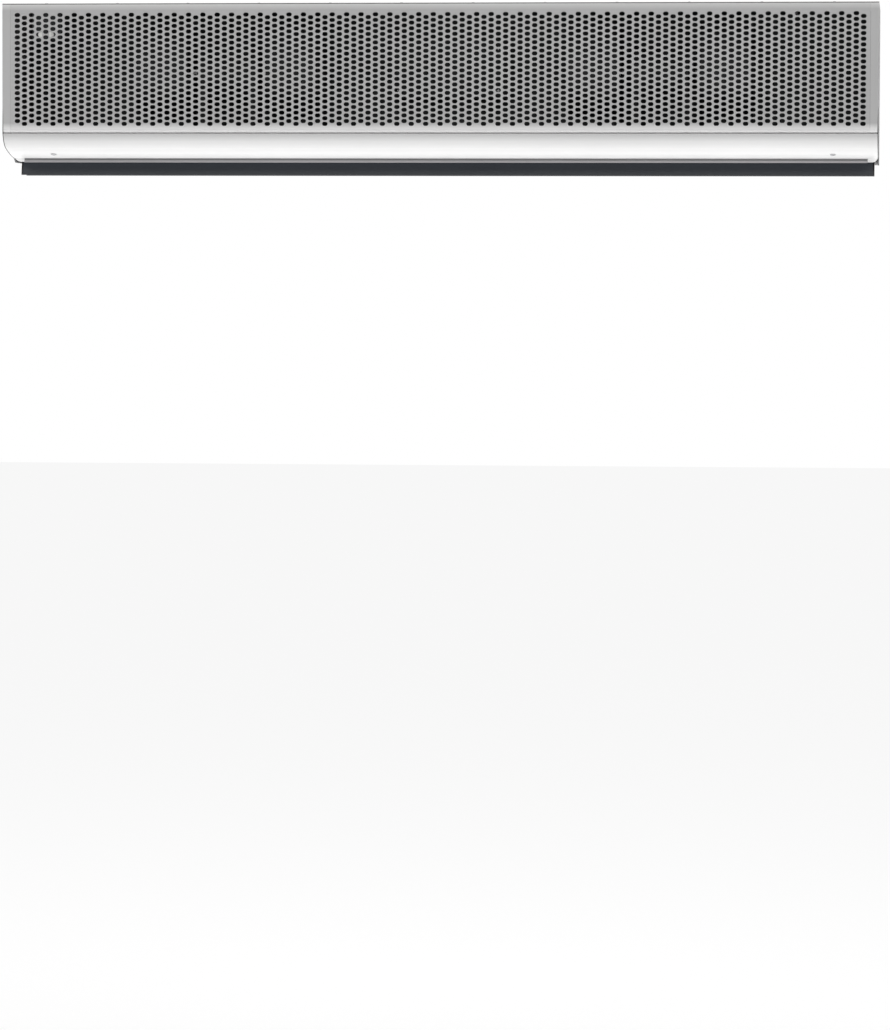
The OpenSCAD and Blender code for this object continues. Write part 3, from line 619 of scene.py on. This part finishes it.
def white_where_seen(tree):
    """One for rays from the camera, through glass and off shiny surfaces, and zero for the rest."""
    path = tree.nodes.new("ShaderNodeLightPath")
    seen = path.outputs["Is Camera Ray"]
    for ray in ("Is Transmission Ray", "Is Glossy Ray"):
        either = tree.nodes.new("ShaderNodeMath")
        either.operation = "MAXIMUM"
        tree.links.new(seen, either.inputs[0])
        tree.links.new(path.outputs[ray], either.inputs[1])
        seen = either.outputs[0]
    return seen


def glow_node(tree, kind, strength):
    """A white background or emission node."""
    node = tree.nodes.new(kind)
    node.inputs["Color"].default_value = WHITE
    node.inputs["Strength"].default_value = strength
    return node.outputs[0]


def mixed(tree, fac, a, b):
    mix = tree.nodes.new("ShaderNodeMixShader")
    for socket, value in zip(mix.inputs, (fac, a, b)):
        tree.links.new(value, socket)
    return mix.outputs[0]


def add_world():
    """Surroundings that look white, and give a dimmer, even light."""
    world = bpy.data.worlds.new("studio")
    scene.world = world
    world.use_nodes = True
    tree = world.node_tree
    tree.nodes.clear()
    out = tree.nodes.new("ShaderNodeOutputWorld")
    both = mixed(tree, white_where_seen(tree), glow_node(tree, "ShaderNodeBackground", WORLD_LIGHT),
                 glow_node(tree, "ShaderNodeBackground", WORLD_SEEN))
    tree.links.new(both, out.inputs[0])


def floor_material():
    """A pale floor that the camera sees lit, with no light of its own on the casing."""
    mat = bpy.data.materials.new("floor_white")
    mat.use_nodes = True
    tree = mat.node_tree
    tree.nodes.clear()
    out = tree.nodes.new("ShaderNodeOutputMaterial")
    diffuse = tree.nodes.new("ShaderNodeBsdfDiffuse")
    diffuse.inputs["Color"].default_value = (0.82, 0.82, 0.82, 1)
    path = tree.nodes.new("ShaderNodeLightPath")
    glow = mixed(tree, path.outputs["Is Camera Ray"], glow_node(tree, "ShaderNodeEmission", 0.0),
                 glow_node(tree, "ShaderNodeEmission", FLOOR_SEEN))
    total = tree.nodes.new("ShaderNodeAddShader")
    tree.links.new(diffuse.outputs[0], total.inputs[0])
    tree.links.new(glow, total.inputs[1])
    tree.links.new(total.outputs[0], out.inputs[0])
    return mat


def backdrop(name, mesh, material):
    mesh.materials.append(material)
    obj = bpy.data.objects.new(name, mesh)
    scene.collection.objects.link(obj)
    return obj


add_world()

mesh = bpy.data.meshes.new("floor")
corners = [(-1, -1), (1, -1), (1, 1), (-1, 1)]
mesh.from_pydata([(FLOOR_HALF * x, FLOOR_HALF * y, FLOOR_Z) for x, y in corners], [], [(0, 1, 2, 3)])
floor = backdrop("floor", mesh, floor_material())
floor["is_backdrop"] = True

# painted shade: small dark discs behind the six bolt holes stand in for the shade where the wall would keep
# the light out
WALL_HOLES_X, WALL_HOLES_Z = (-0.95, 0.0, 0.95), (-0.15, 0.15)
SPOT_R, SPOT_Y = 0.007, 0.0015

bm = bmesh.new()
for x in WALL_HOLES_X:
    for z in WALL_HOLES_Z:
        upright = Matrix.Translation((x, SPOT_Y, z)) @ Matrix.Rotation(math.pi / 2, 4, "X")
        bmesh.ops.create_circle(bm, cap_ends=True, radius=SPOT_R, segments=24, matrix=upright)
mesh = bpy.data.meshes.new("bolt_hole_painted_shade")
bm.to_mesh(mesh)
bm.free()
spots = backdrop("bolt_hole_painted_shade", mesh, plastic("shade", SHADE))
spots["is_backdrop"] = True


# ---------- light: the bright floor from below, and two soft lamps from above ----------

def area(name, where, target, size, power):
    data = bpy.data.lights.new(name, "AREA")
    data.shape = "RECTANGLE"
    data.size, data.size_y = size
    data.energy = power
    lamp = bpy.data.objects.new(name, data)
    lamp.location = where
    lamp.rotation_euler = (Vector(target) - Vector(where)).to_track_quat("-Z", "Y").to_euler()
    scene.collection.objects.link(lamp)
    return lamp


glow = area("floor_glow", (0.0, -0.5, -2.40), (0, -0.5, 0), (12.0, 12.0), 680)
glow.visible_camera = False
area("key", (-2.4, -4.6, 2.4), (0, -0.2, 0), (3.0, 2.0), 10)
area("top_soft", (0.5, 0.5, 3.2), (0, -0.2, 0), (4.0, 2.5), 25)

# ---------- end ----------

lo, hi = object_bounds()
